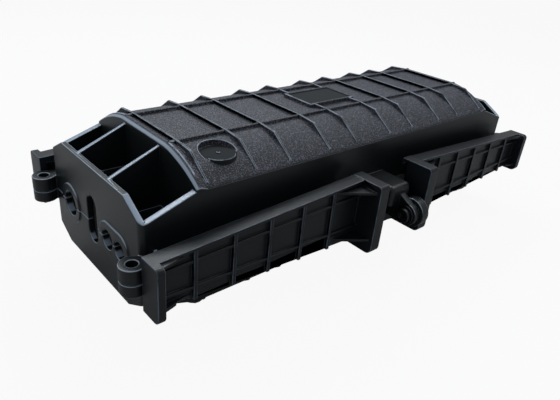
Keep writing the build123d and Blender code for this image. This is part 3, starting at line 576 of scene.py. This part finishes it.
pale_tray = moulded_plastic("tray_plastic", TRAY_GREY, TRAY_PALE_GREY, dullness=0.42)
black_comb = moulded_plastic("holder_plastic", COMB_BLACK, COMB_SOFT_BLACK, dullness=0.6)
clear_lid = moulded_plastic("lid_plastic", LID_TINT, LID_CLEAR, dullness=0.12)
clear_sheet = clear_lid.node_tree.nodes["Principled BSDF"]
clear_sheet.inputs["Transmission Weight"].default_value = 0.92
clear_sheet.inputs["IOR"].default_value = 1.49
for number in (1, 2, 3):
    place_moulding(f"splice_tray_{number}", "closure", pale_tray, TRAY_RADIUS)
    place_moulding(f"tray_pin_{number}", "closure", zinc_plate, PIN_RADIUS)
    comb_name = f"splice_holder_{number}"
    place_moulding(comb_name, "closure", black_comb, COMB_RADIUS)
place_moulding("tray_lid", "closure", clear_lid, TRAY_RADIUS)


# Cover shell: the upper half, the same moulding as the base with the bare label pad, the round boss
# and the tongue of the side lock added.

place_moulding("cover_shell", "closure", black_shell, MOULD_RADIUS)


# Side lock: a socket head bolt, washer and nut of dark finished steel, through the tongue of the
# cover and the lug of the base. It keeps the halves together while the clamps are driven on.

LOCK_RADIUS = 0.0004
DARK_STEEL = (0.030, 0.032, 0.036, 1)
WORN_DARK_STEEL = (0.060, 0.063, 0.070, 1)
DARK_STEEL_ROUGHNESS = (0.30, 0.48)

dark_steel = sheet_metal("dark_steel", DARK_STEEL, WORN_DARK_STEEL, DARK_STEEL_ROUGHNESS)
for piece in ("bolt", "washer", "nut"):
    for side in ("near", "far"):
        place_moulding(f"lock_{piece}_{side}", "closure", dark_steel, LOCK_RADIUS)


# Clamps: four tapered channels moulded in the same black plastic, slid over the rails from the
# middle outwards. Their faces are smooth with a faint grain, and their ribs and flanges carry a
# painted highlight along their outward edges.

CLAMP_RADIUS = 0.0006
CLAMP_BLACK = (0.0042, 0.0058, 0.0080, 1)
CLAMP_FLOW_BLACK = (0.0084, 0.0112, 0.0150, 1)
CLAMP_PAINTED_HIGHLIGHT = (0.105, 0.132, 0.170, 1)
CLAMP_ROUGHNESS = (0.30, 0.46)


def clamp_plastic():
    """Black moulding with a faint grain, a cool sheen and a painted highlight on its outward edges.
    """
    material, tree, surface, on_piece = new_finish("clamp_plastic")
    place = on_piece["Object"]
    surface.inputs["Specular IOR Level"].default_value = 0.32
    flow = mottle(tree, place, per_metre=22.0, detail=5.0)
    black = blend(tree, flow, CLAMP_BLACK, CLAMP_FLOW_BLACK, "RGBA")
    # Painted highlight on the clamps' outward edges.
    black_with_highlight = blend(tree, edge_highlight_on(tree, place), black, CLAMP_PAINTED_HIGHLIGHT, "RGBA")
    sheen = ramp(tree, flow, 0.0, 1.0, *CLAMP_ROUGHNESS)
    skin = grain_on(tree, place, grain_per_metre=1100.0, fine_share=0.3)["Height"]
    dress(tree, surface, black_with_highlight, sheen, skin, bump_strength=0.25, bump_depth=0.0004)
    return material


black_clamp = clamp_plastic()
for end in ("front", "rear"):
    for side in ("near", "far"):
        clamp_name = f"clamp_{end}_{side}"
        place_moulding(clamp_name, clamp_name, black_clamp, CLAMP_RADIUS)


# Studio: a pale floor under the closure, a white surround and the camera at the photograph's angle.
# One soft light over the back shows the rims and the grain, one from the left shows the end plate,
# and one from above on the right lets the ribs shade the panel.

FLOOR_Z = -0.0681
FLOOR_HALF_WIDTH = 4
FLOOR_GREY = (0.50, 0.50, 0.50, 1)
FLOOR_GLOW_SHARE = 0.93
WHITE = (1, 1, 1, 1)
SKY_TINT = (0.93, 0.96, 1.0, 1)
SKY_STRENGTH = 0.24
PAPER_STRENGTH = 0.97
PAPER_SHARE_IN_GLOSS = 0.25
LIGHT_TINT = (0.90, 0.95, 1.0)

floor_mesh = bpy.data.meshes.new("studio_floor")
floor_mesh.from_pydata(
    [
        (x * FLOOR_HALF_WIDTH, y * FLOOR_HALF_WIDTH, FLOOR_Z)
        for x, y in ((-1, -1), (1, -1), (1, 1), (-1, 1))
    ],
    [],
    [(0, 1, 2, 3)],
)
studio_floor = bpy.data.objects.new("studio_floor", floor_mesh)
bpy.context.scene.collection.objects.link(studio_floor)
floor_paint = bpy.data.materials.new("floor_paint")
floor_paint.use_nodes = True
floor_tree = floor_paint.node_tree
floor_surface = floor_tree.nodes["Principled BSDF"]
floor_surface.inputs["Base Color"].default_value = FLOOR_GREY
floor_surface.inputs["Roughness"].default_value = 0.9
floor_surface.inputs["Specular IOR Level"].default_value = 0.1
floor_glow = add_node(floor_tree, "ShaderNodeEmission", {"Color": WHITE})
seen_floor = floor_tree.nodes.new("ShaderNodeLightPath").outputs["Is Camera Ray"]
glow_share = maths(floor_tree, "MULTIPLY", seen_floor, FLOOR_GLOW_SHARE)
floor_mix = add_node(
    floor_tree,
    "ShaderNodeMixShader",
    {0: glow_share, 1: floor_surface.outputs[0], 2: floor_glow.outputs[0]},
)
floor_output = floor_tree.nodes["Material Output"].inputs["Surface"]
floor_tree.links.new(floor_mix.outputs[0], floor_output)
floor_mesh.materials.append(floor_paint)

surround = bpy.data.worlds.new("surround")
bpy.context.scene.world = surround
surround.use_nodes = True
world_tree = surround.node_tree
soft_sky = world_tree.nodes["Background"]
soft_sky.inputs["Color"].default_value = SKY_TINT
soft_sky.inputs["Strength"].default_value = SKY_STRENGTH
white_paper = add_node(
    world_tree, "ShaderNodeBackground", {"Color": WHITE, "Strength": PAPER_STRENGTH}
)
rays = world_tree.nodes.new("ShaderNodeLightPath").outputs
paper_in_gloss = maths(world_tree, "MULTIPLY", rays["Is Glossy Ray"], PAPER_SHARE_IN_GLOSS)
seen_or_gloss = maths(world_tree, "MAXIMUM", rays["Is Camera Ray"], paper_in_gloss)
shows_paper = maths(world_tree, "MAXIMUM", seen_or_gloss, rays["Is Transmission Ray"])
world_mix = add_node(
    world_tree,
    "ShaderNodeMixShader",
    {0: shows_paper, 1: soft_sky.outputs[0], 2: white_paper.outputs[0]},
)
world_output = world_tree.nodes["World Output"].inputs["Surface"]
world_tree.links.new(world_mix.outputs[0], world_output)


def soft_light(name, place, target, width, height, power):
    """A rectangular soft light that faces a point of the closure."""
    lamp = bpy.data.lights.new(name, "AREA")
    lamp.shape = "RECTANGLE"
    lamp.size, lamp.size_y = width, height
    lamp.energy = power
    lamp.color = LIGHT_TINT
    lamp_object = bpy.data.objects.new(name, lamp)
    lamp_object.location = place
    lamp_object.rotation_mode = "QUATERNION"
    lamp_object.rotation_quaternion = (Vector(target) - Vector(place)).to_track_quat("-Z", "Y")
    bpy.context.scene.collection.objects.link(lamp_object)


soft_light(
    "light_over_the_back",
    place=(0.16, 0.77, 0.95),
    target=(-0.06, 0.0, 0.03),
    width=1.0,
    height=0.4,
    power=9.5,
)
soft_light(
    "light_from_the_left",
    place=(-1.1, 0.25, 0.55),
    target=(-0.22, 0.0, 0.0),
    width=0.7,
    height=0.7,
    power=1.4,
)
soft_light(
    "light_from_above",
    place=(0.60, -0.12, 0.98),
    target=(0.0, 0.0, 0.0),
    width=0.7,
    height=0.5,
    power=4.6,
)

eye = Vector((-0.36620, -0.34578, 0.21383))
to_the_right = Vector((0.75285, -0.65264, 0.08530))
upwards = Vector((0.24829, 0.40162, 0.88151))
towards_the_eye = Vector((-0.60956, -0.64247, 0.46440))
lens_data = bpy.data.cameras.new("photo_camera")
lens_data.sensor_width = 36.0
lens_data.lens = 34.31
lens_data.clip_start = 0.01
photo_camera = bpy.data.objects.new("photo_camera", lens_data)
turn = Matrix((to_the_right, upwards, towards_the_eye)).transposed().to_4x4()
photo_camera.matrix_world = Matrix.Translation(eye) @ turn
bpy.context.scene.collection.objects.link(photo_camera)
bpy.context.scene.camera = photo_camera
bpy.context.scene.view_settings.view_transform = "Standard"
